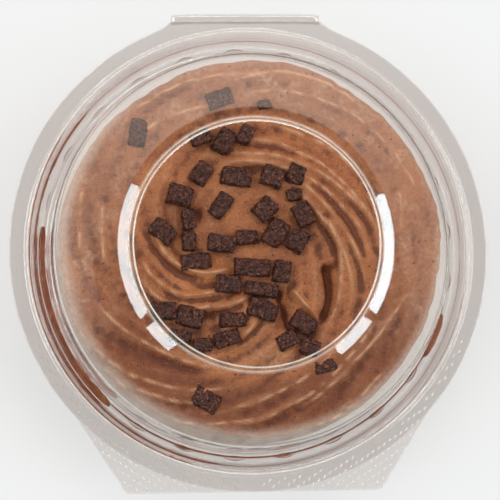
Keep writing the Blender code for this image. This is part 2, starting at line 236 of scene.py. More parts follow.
def mousse_look(name):
    """Whipped chocolate mousse: matt tan brown, pitted by tiny bubbles, paler where foam was smeared against the lid
    and under a painted reflection of the lamps in the lid, with painted shade in its hollows and on the outer ring,
    painted highlights on its ridge tops and raised parts, and powdered dark chocolate in it."""
    made, tree, place = start_material(name)
    smear_and_painted_veil = add(tree, "ShaderNodeAttribute", attribute_name="smear_and_painted_veil").outputs["Fac"]
    painted_relief_shade = add(tree, "ShaderNodeAttribute", attribute_name="painted_relief_shade").outputs["Fac"]
    broad = noise_of(tree, place, 90.0, 4.0, 0.55)
    fine = noise_of(tree, place, 900.0, 5.0, 0.65)
    grain = noise_of(tree, place, 2600.0, 2.0, 0.6)
    body = ramp(tree, broad, (0.3, "#96522e"), (0.72, "#bd7547"))
    body = mixed(tree, between(tree, fine, 0.35, 0.75, 0.0, 0.6), body, linear("#c58250"))
    body = mixed(tree, between(tree, grain, 0.55, 0.3, 0.0, 0.5), body, linear("#6e3820"))
    # Painted shade: the outer ring is darkened, most of all towards the front.
    painted_outer_shade = add(tree, "ShaderNodeAttribute", attribute_name="painted_outer_shade").outputs["Fac"]
    body = mixed(tree, calc(tree, "MULTIPLY", painted_outer_shade, 0.7), body, linear("#6c3317"))
    # Pale where foam was smeared against the lid, with a painted reflection of the lamps in the lid laid over the outer
    # ring.
    patches = noise_of(tree, place, 160.0, 6.0, 0.7, 0.6)
    pale_share = calc(tree, "MULTIPLY", smear_and_painted_veil, between(tree, patches, 0.25, 0.65, 0.45, 1.0))
    pale = ramp(tree, fine, (0.3, "#a56d4a"), (0.75, "#cda68a"))
    body = mixed(tree, pale_share, body, pale)
    painted_crest_highlight = add(tree, "ShaderNodeAttribute", attribute_name="painted_crest_highlight").outputs["Fac"]
    # Painted shade in the hollows between ridges, and painted highlight on the raised parts.
    body = mixed(tree, between(tree, painted_relief_shade, 0.53, 0.85, 0.0, 0.85), body, linear("#5a2711"))
    body = mixed(tree, between(tree, painted_relief_shade, 0.48, 0.1, 0.0, 0.3), body, linear("#c58c66"))
    # Painted highlight: thin pale lines along the ridge tops.
    body = mixed(tree, calc(tree, "MULTIPLY", painted_crest_highlight, 0.75), body, linear("#e2b088"))
    far, colour = dots_of(tree, place, 620.0)
    chosen = calc(tree, "GREATER_THAN", add(tree, "ShaderNodeSeparateColor", {0: colour}).outputs[0], 0.84)
    specks = calc(tree, "MULTIPLY", chosen, between(tree, far, 0.2, 0.1))
    body = mixed(tree, specks, body, linear("#43221a"))
    bubble, kind = dots_of(tree, place, 1500.0)
    some = calc(tree, "GREATER_THAN", add(tree, "ShaderNodeSeparateColor", {0: kind}).outputs[1], 0.7)
    pits = calc(tree, "MULTIPLY", some, between(tree, bubble, 0.34, 0.12))
    body = mixed(tree, calc(tree, "MULTIPLY", pits, 0.5), body, linear("#dcb99d"))
    height = calc(tree, "SUBTRACT", calc(tree, "ADD", fine, calc(tree, "MULTIPLY", grain, 0.35)), pits)
    surface = add(
        tree,
        "ShaderNodeBsdfPrincipled",
        {
            "Base Color": body,
            "Roughness": between(tree, fine, 0.3, 0.8, 0.42, 0.62),
            "IOR": 1.42,
            "Specular IOR Level": 0.45,
            "Normal": bumped(tree, height, 1.0, 0.0003),
        },
    ).outputs[0]
    finish_material(tree, surface)
    return made


def smear_and_refraction_look(name):
    """A thin wet film of mousse between two sheets: darker and redder than the whipped mousse. It also colours the thin
    lines of painted refraction in the seal.
    """
    made, tree, place = start_material(name)
    streaks = noise_of(tree, add(tree, "ShaderNodeMapping", {"Vector": place, "Scale": (1, 1, 0.2)}).outputs[0], 420.0, 4.0)
    body = ramp(tree, streaks, (0.3, "#7a3c20"), (0.5, "#95522c"), (0.75, "#ab6b3f"))
    far, colour = dots_of(tree, place, 700.0)
    chosen = calc(tree, "GREATER_THAN", add(tree, "ShaderNodeSeparateColor", {0: colour}).outputs[0], 0.9)
    body = mixed(tree, calc(tree, "MULTIPLY", chosen, between(tree, far, 0.2, 0.1)), body, linear("#351a12"))
    surface = add(
        tree,
        "ShaderNodeBsdfPrincipled",
        {
            "Base Color": body,
            "Roughness": between(tree, streaks, 0.3, 0.7, 0.3, 0.5),
            "IOR": 1.42,
            "Normal": bumped(tree, streaks, 0.4, 0.0002),
        },
    ).outputs[0]
    finish_material(tree, surface)
    return made


def chocolate_look(name):
    """Soft dark chocolate, broken and crumbly: near black brown with pale specks that are partly cocoa powder and
    partly painted glints, and moist glints from its gloss.
    """
    made, tree, place = start_material(name)
    lumps = noise_of(tree, place, 1100.0, 5.0, 0.65)
    grain, kind = dots_of(tree, place, 1900.0)
    body = ramp(tree, lumps, (0.36, "#1a0805"), (0.52, "#421c11"), (0.68, "#743d29"))
    # Pale specks: partly cocoa powder, partly painted glints.
    dust_and_painted_glints = noise_of(tree, place, 1700.0, 3.0, 0.7)
    body = mixed(tree, between(tree, dust_and_painted_glints, 0.55, 0.68, 0.0, 0.65), body, linear("#a57460"))
    height = calc(tree, "ADD", lumps, calc(tree, "MULTIPLY", grain, 0.6))
    surface = add(
        tree,
        "ShaderNodeBsdfPrincipled",
        {
            "Base Color": body,
            "Roughness": between(tree, lumps, 0.35, 0.7, 0.25, 0.55),
            "IOR": 1.47,
            "Specular IOR Level": 0.28,
            "Normal": bumped(tree, height, 0.9, 0.0003),
        },
    ).outputs[0]
    finish_material(tree, surface)
    return made


def floor_look(name):
    """Pale frosted table lit from below, with a faint tooth."""
    made, tree, place = start_material(name)
    tooth = noise_of(tree, place, 500.0, 3.0)
    body = ramp(tree, noise_of(tree, place, 3.0, 2.0), (0.3, "#9f9e9d"), (0.7, "#a4a3a2"))
    surface = add(
        tree,
        "ShaderNodeBsdfPrincipled",
        {
            "Base Color": body,
            "Roughness": 0.7,
            "Emission Color": linear("#fdfcfb"),
            "Emission Strength": 0.47,
            "Normal": bumped(tree, tooth, 0.1, 0.0002),
        },
    ).outputs[0]
    finish_material(tree, surface)
    return made


def smooth(low, high, value):
    share = np.clip((value - low) / (high - low), 0.0, 1.0)
    return share * share * (3 - 2 * share)


def make_object(name, points, faces, look, body, replaced=(), attributes=None):
    """A smooth-shaded mesh object from points in millimetres, riding on a body of the model."""
    mesh = bpy.data.meshes.new(name)
    mesh.from_pydata((np.asarray(points, float) * MM).tolist(), [], faces)
    work = bmesh.new()
    work.from_mesh(mesh)
    bmesh.ops.recalc_face_normals(work, faces=work.faces)
    if work.calc_volume(signed=True) < 0:
        bmesh.ops.reverse_faces(work, faces=work.faces)
    work.to_mesh(mesh)
    work.free()
    mesh.shade_smooth()
    for label, values in (attributes or {}).items():
        field = mesh.attributes.new(label, "FLOAT", "POINT")
        field.data.foreach_set("value", np.asarray(values, np.float32))
    mesh.materials.append(look)
    made = bpy.data.objects.new(name, mesh)
    bpy.context.scene.collection.objects.link(made)
    if body:
        settle(made, body, replaced)
    return made


def settle(made, body, replaced=()):
    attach(made, body)
    if replaced:
        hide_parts(*replaced)


def rounded(corners, steps=7):
    """The line through (radius, height, fillet) corners with each corner rounded."""
    line = [Vector(corners[0][:2])]
    for before, corner, after in zip(corners, corners[1:], corners[2:]):
        here = Vector(corner[:2])
        back = (Vector(before[:2]) - here).normalized()
        onwards = (Vector(after[:2]) - here).normalized()
        half = back.angle(onwards) / 2
        reach = corner[2] / math.tan(half)
        middle = here + (back + onwards).normalized() * corner[2] / math.sin(half)
        first = here + back * reach - middle
        last = here + onwards * reach - middle
        sweep = first.angle_signed(last)
        for step in range(steps + 1):
            line.append(middle + Matrix.Rotation(-sweep * step / steps, 2) @ first)
    line.append(Vector(corners[-1][:2]))
    return np.array([tuple(point) for point in line])


def inset(line, distance):
    """The same line moved sideways, to the right of its direction."""
    steps = np.diff(line, axis=0)
    steps /= np.linalg.norm(steps, axis=1)[:, None]
    along = np.vstack([steps[:1], steps[:-1] + steps[1:], steps[-1:]])
    along /= np.linalg.norm(along, axis=1)[:, None]
    side = np.column_stack([along[:, 1], -along[:, 0]])
    return line + side * distance


def resampled(line, longest):
    """More points along the long straights, so that the surface can bend there."""
    points = [line[0]]
    for start, end in zip(line, line[1:]):
        count = max(1, math.ceil(np.linalg.norm(end - start) / longest))
        points += [start + (end - start) * step / count for step in range(1, count + 1)]
    return np.array(points)


def spun(line, columns):
    """Points and faces of a line of (radius, height) turned about the axis. Ends at radius 0."""
    angles = np.arange(columns) * TURN / columns
    points, rings = [], []
    for radius, height in line:
        if radius < 1e-6:
            rings.append([len(points)])
            points.append((0.0, 0.0, height))
            continue
        rings.append(list(range(len(points), len(points) + columns)))
        points += zip(radius * np.cos(angles), radius * np.sin(angles), [height] * columns)
    faces = []
    for low, high in zip(rings, rings[1:]):
        for i in range(columns):
            j = (i + 1) % columns
            corners = [low[i % len(low)], low[j % len(low)], high[j % len(high)], high[i % len(high)]]
            faces.append(list(dict.fromkeys(corners)))
    return np.array(points), faces


def blunt_max(first, second, round_off):
    """The larger of two values, with the corner where they cross rounded."""
    gap = np.clip(0.5 + 0.5 * (first - second) / round_off, 0.0, 1.0)
    return second + (first - second) * gap + round_off * gap * (1 - gap)


def flange_edge(angle, side):
    """How far the flange's edge is from the axis: a circle, one corner tab and the hinge's flat."""
    away = np.angle(np.exp(1j * (angle - math.radians(270.0)))) * side
    inside = (away > -0.2) & (away < 1.2)
    front = FLANGE_RADIUS / np.cos(np.clip(away, -0.3, 1.25))
    slope = TAB_SIDE_DISTANCE / np.cos(TAB_SIDE_TURN - np.clip(away, -0.3, 1.25))
    corner = -blunt_max(-front, -slope, TAB_CORNER)
    edge = np.where(inside & (away > 0), np.maximum(FLANGE_RADIUS, corner), FLANGE_RADIUS)
    back = np.abs(np.angle(np.exp(1j * (angle - math.radians(90.0)))))
    half = math.atan2(HINGE_HALF, HINGE_LINE)
    flat = HINGE_LINE / np.cos(np.clip(back, 0, half))
    end = half + HINGE_FILLET / FLANGE_RADIUS
    fade = (1 - np.clip((back - half) / (end - half), 0, 1)) ** 2
    return np.where(back < half, flat, edge + (HINGE_LINE / math.cos(half) - FLANGE_RADIUS) * fade)


def to_flange_edge(points, side):
    """Stretches the rim outside FLANGE_START to the flange's own outline."""
    radius = np.hypot(points[:, 0], points[:, 1])
    angle = np.arctan2(points[:, 1], points[:, 0])
    share = np.clip((radius - FLANGE_START) / (FLANGE_RADIUS - RIM - FLANGE_START), 0.0, 1.0)
    wanted = radius + share * (flange_edge(angle, side) - FLANGE_RADIUS)
    scale = np.where(radius > 0, wanted / np.maximum(radius, 1e-9), 1.0)
    out = points.copy()
    out[:, :2] *= scale[:, None]
    return out


def sheet_of(corners, steps, longest):
    """A closed outline of a formed sheet: its outer side from the axis out, then back inside."""
    outer = resampled(rounded(corners, steps), longest)
    outer = np.insert(outer, -1, outer[-1] - (RIM + 0.1, 0.0), axis=0)
    inner = inset(outer, WALL)
    inner[0, 0] = 0.0
    rim = outer[-1] * 0.5 + inner[-1] * 0.5 + np.array([0.12, 0.0])
    outer[-1, 0] -= 0.06
    inner[-1, 0] -= 0.06
    rim[0] = outer[-1, 0] + 0.06
    return np.vstack([outer, rim[None], inner[::-1]])


def make_lid(look):
    corners = (
        (0.0, 55.15, 0.0),
        (30.65, 55.0, 1.2),
        (31.3, 54.05, 0.8),
        (34.15, 52.83, 0.8),
        (40.5, 49.5, 12.0),
        (49.4, 44.35, 5.5),
        (50.35, 31.9, 0.75),
        (52.45, 31.9, 0.75),
        (54.05, 36.9, 0.6),
        (54.85, 36.9, 0.5),
        (55.5, 37.75, 0.5),
        (56.3, 36.9, 0.5),
        (FLANGE_RADIUS, LID_FLANGE_TOP, 0.0),
    )
    points, faces = spun(sheet_of(corners, 6, 0.8), LID_COLUMNS)
    radius = np.hypot(points[:, 0], points[:, 1])
    angle = np.arctan2(points[:, 1], points[:, 0])
    # Painted reflection of the lamps on the lid's shoulder, fainter towards the back right, and painted highlight lines
    # along the plateau's rim fillets and the bead's top.
    behind = np.abs(np.angle(np.exp(1j * (angle - math.radians(65.0)))))
    painted_sheen = smooth(44.0, 48.5, radius) * smooth(41.5, 44.0, points[:, 2]) * smooth(50.2, 49.0, radius)
    painted_sheen *= 0.05 + 0.24 * smooth(0.95, 1.45, behind)
    for edge, share, wide in ((30.4, 0.8, 0.17), (31.35, 0.5, 0.15), (55.5, 0.4, 0.22)):
        painted_sheen = np.maximum(painted_sheen, share * np.exp(-(((radius - edge) / wide) ** 2)))
    bend = (radius > 48.7) & (radius < 52.9)
    points = to_flange_edge(points, 1)
    return make_object(
        "lid_shell", points, faces, look, "lid", ("lid",), {"painted_sheen": painted_sheen, "bend": bend}
    )


def node_group(name, sizes, output="NodeSocketGeometry"):
    """A new Geometry Nodes tree with a mesh input, named sizes and a mesh output."""
    tree = bpy.data.node_groups.new(name, "GeometryNodeTree")
    tree.interface.new_socket("Geometry", in_out="INPUT", socket_type="NodeSocketGeometry")
    tree.interface.new_socket("Material", in_out="INPUT", socket_type="NodeSocketMaterial")
    for label in sizes:
        tree.interface.new_socket(label, in_out="INPUT", socket_type="NodeSocketFloat")
    tree.interface.new_socket("Geometry", in_out="OUTPUT", socket_type=output)
    return tree, add(tree, "NodeGroupInput").outputs


def grown(made, tree, look, sizes):
    """Runs a Geometry Nodes tree on an object and keeps the result as a plain mesh."""
    modifier = made.modifiers.new(tree.name, "NODES")
    modifier.node_group = tree
    values = {**sizes, "Material": look}
    for socket in tree.interface.items_tree:
        if socket.in_out == "INPUT" and socket.name in values:
            modifier[socket.identifier] = values[socket.name]
    graph = bpy.context.evaluated_depsgraph_get()
    mesh = bpy.data.meshes.new_from_object(made.evaluated_get(graph))
    made.modifiers.clear()
    made.data = mesh
    mesh.name = made.name
    return made


def end_group(tree, geometry, sockets):
    real = add(tree, "GeometryNodeRealizeInstances", {"Geometry": geometry}).outputs[0]
    named = add(
        tree, "GeometryNodeSetMaterial", {"Geometry": real, "Material": sockets["Material"]}
    ).outputs[0]
    smoothed = add(tree, "GeometryNodeSetShadeSmooth", {"Geometry": named}).outputs[0]
    add(tree, "NodeGroupOutput", {"Geometry": smoothed})


def polar_parts(tree):
    """Position, radius and angle about the axis, as sockets."""
    place = add(tree, "GeometryNodeInputPosition").outputs[0]
    parts = add(tree, "ShaderNodeSeparateXYZ", {0: place}).outputs
    square = calc(tree, "ADD", calc(tree, "MULTIPLY", parts[0], parts[0]), calc(tree, "MULTIPLY", parts[1], parts[1]))
    radius = calc(tree, "SQRT", square)
    angle = calc(tree, "ARCTAN2", parts[1], parts[0])
    return place, parts, radius, angle


def lug_tree():
    """Lens-shaped lugs that bulge out of the seal band, evenly spaced round the tub."""
    sizes = ("Count", "First Angle", "Depth", "Height", "Half Height", "Half Turn", "Seal Radius")
    tree, sockets = node_group("seal_lugs", sizes)
    _, parts, radius, angle = polar_parts(tree)
    spacing = calc(tree, "DIVIDE", TURN, sockets["Count"])
    shifted = calc(tree, "ADD", calc(tree, "SUBTRACT", angle, sockets["First Angle"]), calc(tree, "MULTIPLY", spacing, 0.5))
    away = calc(tree, "SUBTRACT", calc(tree, "FLOORED_MODULO", shifted, spacing), calc(tree, "MULTIPLY", spacing, 0.5))
    across = calc(tree, "DIVIDE", away, sockets["Half Turn"])
    upright = calc(tree, "DIVIDE", calc(tree, "SUBTRACT", parts[2], sockets["Height"]), sockets["Half Height"])
    reach = calc(tree, "ADD", calc(tree, "MULTIPLY", across, across), calc(tree, "MULTIPLY", upright, upright))
    dome = calc(tree, "MAXIMUM", calc(tree, "SUBTRACT", 1.0, reach), 0.0)
    outside = calc(tree, "LESS_THAN", radius, sockets["Seal Radius"])
    push = calc(tree, "MULTIPLY", calc(tree, "MULTIPLY", dome, sockets["Depth"]), outside)
    share = calc(tree, "DIVIDE", push, radius)
    offset = add(
        tree,
        "ShaderNodeCombineXYZ",
        {0: calc(tree, "MULTIPLY", parts[0], share), 1: calc(tree, "MULTIPLY", parts[1], share)},
    ).outputs[0]
    moved = add(
        tree, "GeometryNodeSetPosition", {"Geometry": sockets["Geometry"], "Offset": offset}
    ).outputs[0]
    end_group(tree, moved, sockets)
    return tree


def make_tub(look):
    corners = (
        (0.0, 0.02, 0.0),
        (40.3, 0.02, 1.6),
        (48.4, 26.9, 1.0),
        (51.05, 27.75, 0.8),
        (51.7, 30.3, 0.7),
        (53.9, 30.3, 0.8),
        (55.25, TUB_FLANGE_UNDER, 0.7),
        (FLANGE_RADIUS, TUB_FLANGE_UNDER, 0.0),
    )
    line = sheet_of([(radius, -height, fillet) for radius, height, fillet in corners], 6, 3.0)
    line[:, 1] *= -1
    extra = resampled(line, 0.55)
    in_band = (extra[:, 1] > 27.0) & (extra[:, 1] < 30.6) & (extra[:, 0] > 50.0) & (extra[:, 0] < 52.2)
    kept = [point for point in line if not (27.0 < point[1] < 30.6 and 50.0 < point[0] < 52.2)]
    merged = thread(line, extra, in_band)
    points, faces = spun(merged, SHELL_COLUMNS)
    points = to_flange_edge(points, -1)
    made = make_object("tub_shell", points, faces, look, None, attributes={"painted_sheen": np.zeros(len(points))})
    grown(
        made,
        lug_tree(),
        look,
        {
            "Count": 25.0,
            "First Angle": math.radians(6.0),
            "Depth": 0.8 * MM,
            "Height": 29.0 * MM,
            "Half Height": 1.05 * MM,
            "Half Turn": math.radians(3.6),
            "Seal Radius": 52.6 * MM,
        },
    )
    settle(made, "cup", ("tub",))
    return made


def thread(line, extra, wanted):
    """The line's own points, with the extra ones wherever they are wanted, in order."""
    keep = [any(np.linalg.norm(point - own) < 1e-9 for own in line) for point in extra]
    return extra[np.array(keep) | wanted]


def make_hinge(look):
    """The sheet that runs from flange to flange and folds about the hinge's axis."""
    half_gap = (LID_FLANGE_TOP - WALL / 2 - AXIS_Z) * 0.97
    bend = 0.53
    line = [(57.6, -half_gap), (58.4, -half_gap), (AXIS_Y - 0.2, -half_gap)]
    for step in range(13):
        turn = math.pi * (step / 12 - 0.5)
        line.append((AXIS_Y + bend * math.cos(turn), half_gap * math.sin(turn)))
    line += [(y, -z) for y, z in line[2::-1]]
    line = np.array(line)
    thick = 0.3
    outer = inset(line, thick / 2)
    inner = inset(line, -thick / 2)
    loop = np.vstack([outer, inner[::-1]])
    across = np.linspace(-1, 1, 41)
    points, faces = [], []
    for share in across:
        pull = 0.35 * abs(share) ** 8
        for y, z in loop:
            points.append((share * (HINGE_HALF - 0.1), y - pull, z + AXIS_Z))
    count = len(loop)
    for column in range(len(across) - 1):
        for i in range(count):
            j = (i + 1) % count
            start = column * count
            faces.append([start + i, start + j, start + count + j, start + count + i])
    half = count // 2
    for start in (0, (len(across) - 1) * count):
        for i in range(half - 1):
            faces.append([start + i, start + i + 1, start + count - 2 - i, start + count - 1 - i])
    made = make_object("hinge_film", points, faces, look, None, attributes={"painted_sheen": np.zeros(len(points))})
    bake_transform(made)
    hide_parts("hinge_fold")
    return made


def pip_tree():
    """Rows of small slanted pips, kept where they lie on one side's grip tab."""
    sizes = (
        "Pitch",
        "Row Angle",
        "Pip Angle",
        "Pip Length",
        "Pip Width",
        "Pip Height",
        "Inner Radius",
        "Front Distance",
        "Side Distance",
        "Side Angle",
        "Side",
        "Level",
    )
    tree, sockets = node_group("grip_pips", sizes)
    count = 84
    reach = calc(tree, "MULTIPLY", sockets["Pitch"], float(count - 1))
    grid = add(
        tree,
        "GeometryNodeMeshGrid",
        {"Size X": reach, "Size Y": reach, "Vertices X": count, "Vertices Y": count},
    ).outputs["Mesh"]
    turn = add(tree, "ShaderNodeCombineXYZ", {2: sockets["Row Angle"]}).outputs[0]
    turned = add(tree, "GeometryNodeTransform", {"Geometry": grid, "Rotation": turn}).outputs[0]
    _, parts, radius, _ = polar_parts(tree)
    sideways = calc(tree, "MULTIPLY", parts[0], sockets["Side"])
    along_side = calc(
        tree,
        "ADD",
        calc(tree, "MULTIPLY", sideways, calc(tree, "SINE", sockets["Side Angle"])),
        calc(tree, "MULTIPLY", calc(tree, "MULTIPLY", parts[1], -1.0), calc(tree, "COSINE", sockets["Side Angle"])),
    )
    outside = calc(tree, "MAXIMUM", calc(tree, "GREATER_THAN", along_side, sockets["Side Distance"]), calc(tree, "LESS_THAN", radius, sockets["Inner Radius"]))
    front = calc(tree, "GREATER_THAN", calc(tree, "MULTIPLY", parts[1], -1.0), sockets["Front Distance"])
    wrong_side = calc(tree, "LESS_THAN", sideways, sockets["Pitch"])
    behind = calc(tree, "GREATER_THAN", parts[1], calc(tree, "MULTIPLY", sockets["Inner Radius"], -0.4))
    unwanted = calc(tree, "MAXIMUM", calc(tree, "MAXIMUM", outside, front), calc(tree, "MAXIMUM", wrong_side, behind))
    kept = add(
        tree, "GeometryNodeDeleteGeometry", {"Geometry": turned, "Selection": unwanted}, domain="POINT"
    ).outputs[0]
    ball = add(tree, "GeometryNodeMeshUVSphere", {"Segments": 12, "Rings": 6, "Radius": 0.5}).outputs["Mesh"]
    size = add(
        tree,
        "ShaderNodeCombineXYZ",
        {0: sockets["Pip Length"], 1: sockets["Pip Width"], 2: sockets["Pip Height"]},
    ).outputs[0]
    slant = add(tree, "ShaderNodeCombineXYZ", {2: sockets["Pip Angle"]}).outputs[0]
    pips = add(
        tree,
        "GeometryNodeInstanceOnPoints",
        {"Points": kept, "Instance": ball, "Rotation": slant, "Scale": size},
    ).outputs[0]
    lift = add(tree, "ShaderNodeCombineXYZ", {2: sockets["Level"]}).outputs[0]
    placed = add(tree, "GeometryNodeTransform", {"Geometry": pips, "Translation": lift}).outputs[0]
    end_group(tree, placed, sockets)
    return tree


def make_pips(name, tree, look, body, **sizes):
    mesh = bpy.data.meshes.new(name)
    made = bpy.data.objects.new(name, mesh)
    bpy.context.scene.collection.objects.link(made)
    grown(made, tree, look, sizes)
    # Painted highlight: the clear pips are drawn almost wholly in the flat white that stands in for reflected light.
    painted_sheen = made.data.attributes.new("painted_sheen", "FLOAT", "POINT")
    painted_sheen.data.foreach_set("value", np.full(len(made.data.vertices), 0.9, np.float32))
    settle(made, body, ())
    return made


# Ridges left by the nozzle, as where each starts and ends (degrees, radius), how far its middle
# bows outwards, how high it stands and how wide it is. A negative height is a groove.
RIDGES = (
    (100, 28.0, 0, 32.5, -3.2, 0.7, 1.6),
    (105, 24.3, 5, 32.0, -3.8, 0.9, 1.7),
    (112, 22.8, -10, 31.0, -4.9, 0.9, 1.5),
    (80, 31.0, 20, 33.5, -0.5, 0.5, 1.5),
    (60, 20.2, -22, 30.5, -3.3, 1.0, 1.5),
    (55, 18.0, -30, 28.5, -3.5, 1.0, 1.4),
    (25, 19.5, -50, 27.0, -1.0, 1.3, 1.5),
    (-12, 17.8, -51, 25.0, 0.3, -1.9, 1.5),
    (165, 26.0, 225, 5.0, 3.0, 1.5, 1.9),
    (182, 27.8, 234, 11.0, 3.4, 1.2, 1.8),
    (192, 29.5, 240, 15.0, 2.2, 0.7, 1.6),
    (222, 22.5, 270, 11.5, -1.4, 1.0, 1.7),
    (246, 22.8, 270, 13.8, -0.5, 0.9, 1.5),
    (241, 28.8, 279, 15.0, 1.0, 1.1, 1.6),
    (299, 11.5, 291, 23.5, 0.0, -1.3, 1.2),
    (312, 13.5, 311, 25.0, 0.0, 1.1, 1.3),
    (182, 48.6, 264, 33.0, 2.7, 0.9, 1.8),
    (200, 49.0, 260, 38.0, 1.4, 0.7, 1.7),
    (196, 41.8, 257, 30.5, -1.5, 0.8, 1.7),
    (214, 50.0, 276, 40.8, 1.2, 0.6, 1.7),
    (262, 45.0, 336, 35.5, -3.0, 0.9, 1.7),
    (260, 40.0, 312, 31.8, -0.8, 0.9, 1.7),
    (284, 41.5, 346, 41.0, -3.6, 0.7, 1.5),
    (276, 48.3, 320, 44.4, -0.6, 0.5, 1.5),
    (134, 45.6, 84, 43.6, 0.0, 0.6, 1.6),
    (98, 42.2, 42, 45.7, 1.2, 0.6, 1.6),
    (97, 38.6, 10, 44.0, 0.6, 0.7, 1.8),
    (140, 39.5, 95, 35.5, 0.6, 0.6, 1.7),
    (22, 39.3, 4, 36.5, 0.6, 0.6, 1.3),
    (158, 44.2, 184, 42.4, 0.0, 0.5, 1.4),
    (160, 38.8, 188, 36.6, 0.0, 0.6, 1.5),
)

# Dollops and hollows in the middle of the swirl: x, y, height and radius.
DOLLOPS = (
    (-6.0, 15.0, 0.9, 8.0),
    (-23.0, 17.0, 0.9, 9.0),
    (3.0, 14.0, 0.6, 6.0),
    (18.0, -13.0, 1.0, 4.5),
    (14.0, -9.0, 0.5, 5.0),
    (6.0, -24.0, 1.2, 7.5),
    (-1.0, -3.0, 0.5, 6.0),
    (-20.5, -12.0, -0.9, 4.5),
    (-14.0, 8.5, -1.2, 3.2),
    (-16.5, 3.0, -1.2, 3.0),
    (-12.0, -24.0, -1.1, 5.0),
    (13.5, -21.5, -0.9, 4.0),
)


def ridge_field(x, y):
    """Height that the single ridges add at each point, and how near the sharp top of a ridge it is, which places a
    painted highlight line.
    """
    height = np.zeros(len(x))
    painted_crest_highlight = np.zeros(len(x))
    for first, start, last, end, bow, high, wide in RIDGES:
        steps = np.linspace(0.0, 1.0, 25)
        angle = np.radians(first + (last - first) * steps)
        radius = start + (end - start) * steps + bow * 4 * steps * (1 - steps)
        line = np.column_stack([radius * np.cos(angle), radius * np.sin(angle)])
        near = (
            (x > line[:, 0].min() - 6)
            & (x < line[:, 0].max() + 6)
            & (y > line[:, 1].min() - 6)
            & (y < line[:, 1].max() + 6)
        )
        place = np.column_stack([x[near], y[near]])
        best = np.full(len(place), 99.0)
        side = np.zeros(len(place))
        along = np.zeros(len(place))
        for index, (a, b) in enumerate(zip(line, line[1:])):
            step = b - a
            share = np.clip((place - a) @ step / (step @ step), 0.0, 1.0)
            gap = place - a - share[:, None] * step
            distance = np.hypot(gap[:, 0], gap[:, 1])
            closer = distance < best
            best[closer] = distance[closer]
            side[closer] = (gap[:, 1] * step[0] - gap[:, 0] * step[1])[closer]
            along[closer] = (index + share[closer]) / (len(line) - 1)
        fade = smooth(0.0, 0.16, along) * smooth(1.0, 0.78, along)
        lean = np.where(side > 0, 1.35, 0.75)
        profile = np.exp(-best / (wide * lean)) * smooth(5.5, 3.0, best)
        height[near] += 1.9 * high * fade * profile
        if high > 0:
            painted_crest_highlight[near] = np.maximum(painted_crest_highlight[near], fade * np.exp(-((best / 0.3) ** 2)))
    return height, painted_crest_highlight


def rough(points, scale, seed):
    """Soft random value from -1 to 1 at each point."""
    return np.array([noise.noise(Vector((x / scale, y / scale, seed))) for x, y in points])


def swirl_tree():
    """The flutes of the swirl: a wave across a spiral, raised more in the middle than outside."""
    sizes = (
        "Flutes",
        "Twist",
        "Sway",
        "Sway From",
        "Fullness",
        "Inner Height",
        "Outer Height",
        "Outer Start",
        "Outer Full",
        "Calm Radius",
        "Fluted Radius",
        "Edge Radius",
        "Wander",
    )
    tree, sockets = node_group("swirl", sizes)
    place, parts, radius, angle = polar_parts(tree)
    wander = add(
        tree, "ShaderNodeTexNoise", {"Vector": place, "Scale": 70.0, "Detail": 2.0}
    ).outputs["Fac"]
    wander = calc(tree, "MULTIPLY", calc(tree, "SUBTRACT", wander, 0.5), sockets["Wander"])
    sway = calc(tree, "MULTIPLY", calc(tree, "SINE", calc(tree, "SUBTRACT", angle, sockets["Sway From"])), sockets["Sway"])
    spiral = calc(tree, "ADD", calc(tree, "SUBTRACT", angle, sway), calc(tree, "MULTIPLY", radius, sockets["Twist"]))
    turn = calc(tree, "ADD", calc(tree, "MULTIPLY", spiral, sockets["Flutes"]), wander)
    trough = calc(tree, "POWER", calc(tree, "ABSOLUTE", calc(tree, "SINE", calc(tree, "MULTIPLY", turn, 0.5))), sockets["Fullness"])
    wave = calc(tree, "SUBTRACT", 1.0, calc(tree, "MULTIPLY", trough, 2.0))

    def eased(low, high, to_low, to_high):
        made = add(tree, "ShaderNodeMapRange", {0: radius, 1: low, 2: high, 3: to_low, 4: to_high})
        made.interpolation_type = "SMOOTHSTEP"
        return made.outputs[0]

    high = eased(sockets["Outer Start"], sockets["Outer Full"], sockets["Inner Height"], sockets["Outer Height"])
    calm = eased(sockets["Calm Radius"], sockets["Fluted Radius"], 0.0, 1.0)
    rim = eased(sockets["Edge Radius"], calc(tree, "MULTIPLY", sockets["Edge Radius"], 0.96), 0.0, 1.0)
    upper = calc(tree, "GREATER_THAN", parts[2], MOUSSE_TOP * MM * 0.98)
    lift = calc(tree, "MULTIPLY", calc(tree, "MULTIPLY", wave, high), calc(tree, "MULTIPLY", calm, rim))
    lift = calc(tree, "MULTIPLY", lift, upper)
    offset = add(tree, "ShaderNodeCombineXYZ", {2: lift}).outputs[0]
    moved = add(
        tree, "GeometryNodeSetPosition", {"Geometry": sockets["Geometry"], "Offset": offset}
    ).outputs[0]
    end_group(tree, moved, sockets)
    return tree


def edge_shift(angle):
    """How far the mousse's free edge wanders in and out."""
    waves = 0.6 * np.sin(5 * angle + 0.7) + 0.4 * np.sin(11 * angle)
    away = np.angle(np.exp(1j * (angle - math.radians(198.0))))
    return 0.5 * waves + np.exp(-((away / math.radians(35.0)) ** 2))


def tub_inside(height):
    """Radius of the tub's sloping wall where the mousse just enters it."""
    return 40.9 + (height - 0.9) * (48.4 - 40.9) / (26.8 - 0.9) - WALL + 0.12


